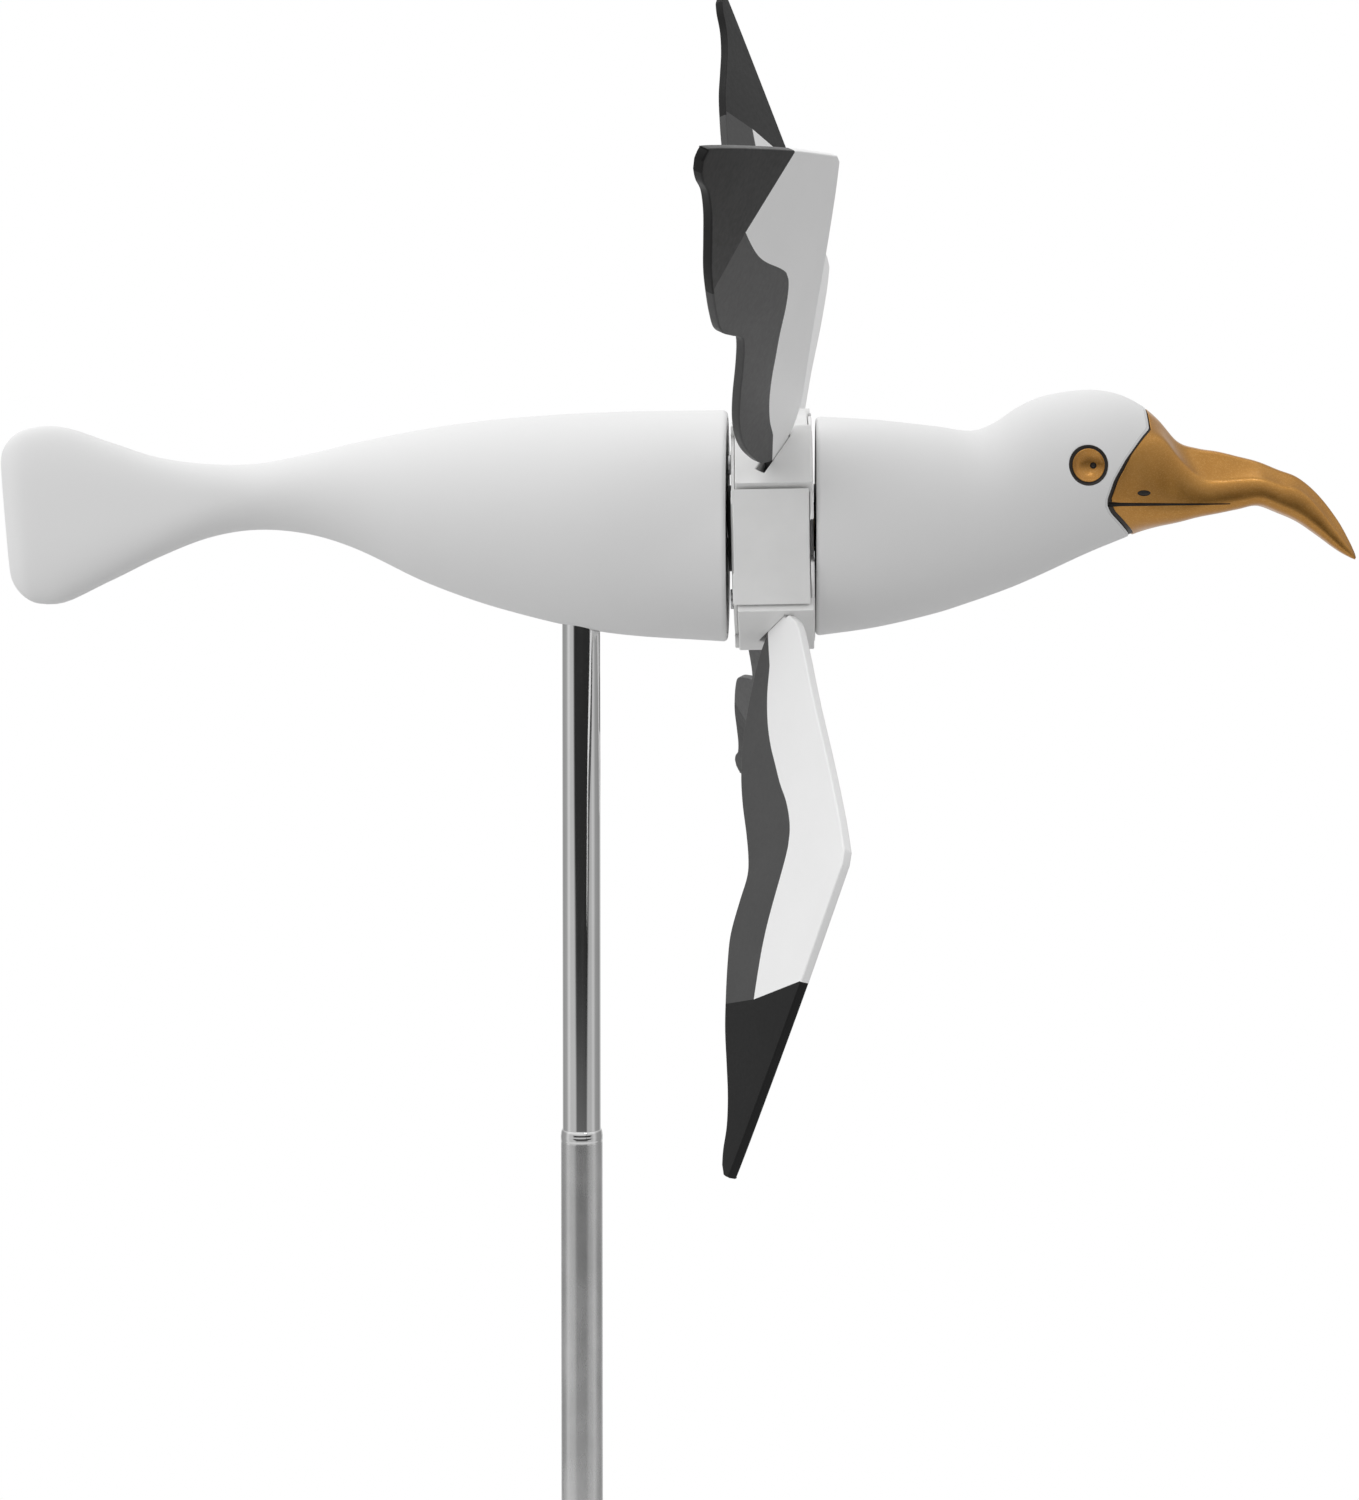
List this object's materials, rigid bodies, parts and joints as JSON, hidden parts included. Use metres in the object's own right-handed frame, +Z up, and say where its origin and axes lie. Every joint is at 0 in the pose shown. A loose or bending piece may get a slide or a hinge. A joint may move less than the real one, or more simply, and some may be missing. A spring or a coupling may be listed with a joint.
{
  "type": "bird wind spinner on a telescopic pole",
  "caption": "Sea-bird garden spinner: hollow body in two halves with a slotted hub and flat pitched wings turning between them, on a telescopic steel ground pole.",
  "frame": {"origin": "pole axis at ground level, at the underside of the ground spike's collar", "axes": "+X towards the beak, +Y to the bird's left, +Z up the pole"},
  "size_m": [0.3906, 0.3414, 0.9444],
  "materials": {
    "body_white": "gloss white paint over moulded plastic",
    "hub_white": "satin moulded plastic",
    "wing_print": "white sheet printed dark grey along the trailing edge and black at the tip",
    "gold_paint": "satin metallic gold paint",
    "steel_mirror": "polished stainless steel",
    "steel_satin": "drawn stainless steel",
    "screw_steel": "zinc plated",
    "brass": "turned",
    "black_plastic": "moulded nylon"
  },
  "bodies": {
    "stake": {"ground_spike": "steel_satin", "base_tube": "steel_satin"},
    "lower_stage": {"lower_tube": "steel_satin"},
    "middle_stage": {"middle_tube": "steel_satin"},
    "top_stage": {"top_tube": "steel_mirror", "pivot_cap": "brass"},
    "bird": {"swivel_socket": "black_plastic", "rear_shell_left": "body_white", "rear_shell_right": "body_white", "rear_bulkhead": "hub_white", "rear_shell_screws": "screw_steel", "axle": "steel_mirror", "axle_nuts": "screw_steel", "rear_washer": "black_plastic", "front_washer": "black_plastic", "front_bulkhead": "hub_white", "front_shell_left": "body_white", "front_shell_right": "body_white", "front_shell_screws": "screw_steel", "beak": "gold_paint", "eye_left": "gold_paint", "eye_right": "gold_paint"},
    "rotor": {"hub_rear": "hub_white", "hub_front": "hub_white", "rear_bush": "brass", "front_bush": "brass", "hub_screws": "screw_steel", "wing_1": "wing_print", "wing_2": "wing_print", "wing_3": "wing_print", "wing_4": "wing_print"}
  },
  "joints": [
    {"name": "lower_slide", "type": "slide", "parent": "stake", "child": "lower_stage", "axis": [0, 0, 1], "range_m": [-0.135, 0]},
    {"name": "middle_slide", "type": "slide", "parent": "lower_stage", "child": "middle_stage", "axis": [0, 0, 1], "range_m": [-0.135, 0]},
    {"name": "top_slide", "type": "slide", "parent": "middle_stage", "child": "top_stage", "axis": [0, 0, 1], "range_m": [-0.135, 0]},
    {"name": "bird_swivel", "type": "hinge", "parent": "top_stage", "child": "bird", "pos_m": [0, 0, 0.639], "axis": [0, 0, 1], "continuous": true},
    {"name": "wing_spin", "type": "hinge", "parent": "bird", "child": "rotor", "pos_m": [0.055, 0, 0.639], "axis": [0.9998, 0, 0.0175], "continuous": true}
  ]
}
